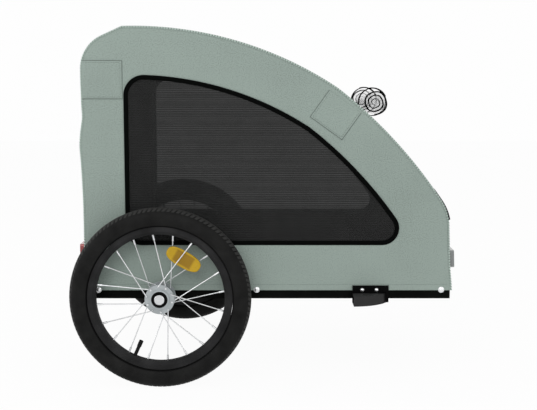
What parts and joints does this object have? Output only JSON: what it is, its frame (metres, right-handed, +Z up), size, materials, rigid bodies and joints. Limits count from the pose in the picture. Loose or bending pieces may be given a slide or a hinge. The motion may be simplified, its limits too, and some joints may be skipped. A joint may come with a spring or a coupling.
{
  "type": "dog bike trailer",
  "caption": "Two-wheeled dog bicycle trailer with a fabric cabin over a tube frame, bound mesh windows, rolled rain cover on the front mesh door, zipped rear door and side tow brackets.",
  "frame": {"origin": "middle of the bounding box on the ground", "axes": "+X forward, +Y to the trailer's left, +Z up"},
  "size_m": [0.8544, 0.7042, 0.7924],
  "materials": {
    "tyre": "satin rubber",
    "tube": "smooth rubber",
    "rim": "satin dark grey paint",
    "spoke_steel": "bright drawn wire",
    "hub_alloy": "satin",
    "bearing": "rubber-sealed ring",
    "amber": "prismatic",
    "clear_reflector": "prismatic",
    "red_reflector": "prismatic",
    "axle_steel": "zinc plated",
    "button": "polished",
    "frame_black": "powder coat",
    "hoop_alloy": "satin",
    "black_plastic": "fine grain",
    "floor_board": "fine grain",
    "sage_fabric": "plain weave",
    "black_tape": "grosgrain",
    "mesh": "open mesh weave",
    "clear_film": "clear film",
    "bolt_steel": "bright zinc"
  },
  "bodies": {
    "frame": {"base_front_rail": "frame_black", "base_rear_rail": "frame_black", "axle_tube": "frame_black", "rail_end_caps": "black_plastic", "floor_board": "floor_board", "rear_crossbar": "hoop_alloy", "front_crossbar": "hoop_alloy", "crossbar_plugs": "black_plastic", "hoop_feet": "black_plastic", "cover_bolts": "bolt_steel", "roof_panel": "sage_fabric", "front_panel": "sage_fabric", "rear_panel": "sage_fabric", "rear_zips": "black_plastic", "front_reflectors": "clear_reflector", "rear_reflectors": "red_reflector", "bracket_bolts": "bolt_steel", "axle_nuts": "axle_steel", "base_rail_right": "frame_black", "base_rail_left": "frame_black", "side_hoop_right": "hoop_alloy", "side_hoop_left": "hoop_alloy", "side_panel_right": "sage_fabric", "side_panel_left": "sage_fabric", "window_mesh_right": "mesh", "window_mesh_left": "mesh", "window_binding_right": "black_tape", "window_binding_left": "black_tape", "sewn_patches_right": "sage_fabric", "sewn_patches_left": "sage_fabric", "tow_bracket_right": "frame_black", "tow_bracket_left": "frame_black", "axle_right": "axle_steel", "axle_left": "axle_steel", "button_spring_right": "spoke_steel", "button_spring_left": "spoke_steel"},
    "front_door": {"front_mesh": "mesh", "front_mesh_binding": "black_tape", "rain_cover_roll": "clear_film", "roll_straps": "black_tape"},
    "rear_door": {"rear_door": "sage_fabric"},
    "zip_slider_right": {"zip_slider_right": "black_plastic"},
    "wheel_right": {"tyre_right": "tyre", "inner_tube_right": "tube", "rim_right": "rim", "spokes_right": "spoke_steel", "hub_shell_right": "hub_alloy", "hub_bearings_right": "bearing", "wheel_reflector_right": "amber"},
    "release_button_right": {"release_button_right": "button"},
    "zip_slider_left": {"zip_slider_left": "black_plastic"},
    "wheel_left": {"tyre_left": "tyre", "inner_tube_left": "tube", "rim_left": "rim", "spokes_left": "spoke_steel", "hub_shell_left": "hub_alloy", "hub_bearings_left": "bearing", "wheel_reflector_left": "amber"},
    "release_button_left": {"release_button_left": "button"}
  },
  "joints": [
    {"name": "wheel_spin_right", "type": "hinge", "parent": "frame", "child": "wheel_right", "pos_m": [-0.22722, -0.325, 0.2], "axis": [0, 1, 0], "continuous": true},
    {"name": "button_press_right", "type": "slide", "parent": "frame", "child": "release_button_right", "axis": [0, 1, 0], "range_m": [0, 0.004], "stiffness_N_per_m": 500, "springref_m": -0.003, "deforming": ["button_spring_right"]},
    {"name": "zip_slide_right", "type": "slide", "parent": "frame", "child": "zip_slider_right", "axis": [0, 0, 1], "range_m": [0, 0.34]},
    {"name": "wheel_spin_left", "type": "hinge", "parent": "frame", "child": "wheel_left", "pos_m": [-0.22722, 0.325, 0.2], "axis": [0, 1, 0], "continuous": true},
    {"name": "button_press_left", "type": "slide", "parent": "frame", "child": "release_button_left", "axis": [0, -1, 0], "range_m": [0, 0.004], "stiffness_N_per_m": 500, "springref_m": -0.003, "deforming": ["button_spring_left"]},
    {"name": "zip_slide_left", "type": "slide", "parent": "frame", "child": "zip_slider_left", "axis": [0, 0, 1], "range_m": [0, 0.34]},
    {"name": "rear_door_swing", "type": "hinge", "parent": "frame", "child": "rear_door", "pos_m": [-0.40122, 0, 0.6394], "axis": [0, 1, 0], "range_deg": [0, 110]},
    {"name": "front_door_swing", "type": "hinge", "parent": "frame", "child": "front_door", "pos_m": [0.17558, 0, 0.6499], "axis": [0, -1, 0], "range_deg": [0, 110]}
  ]
}
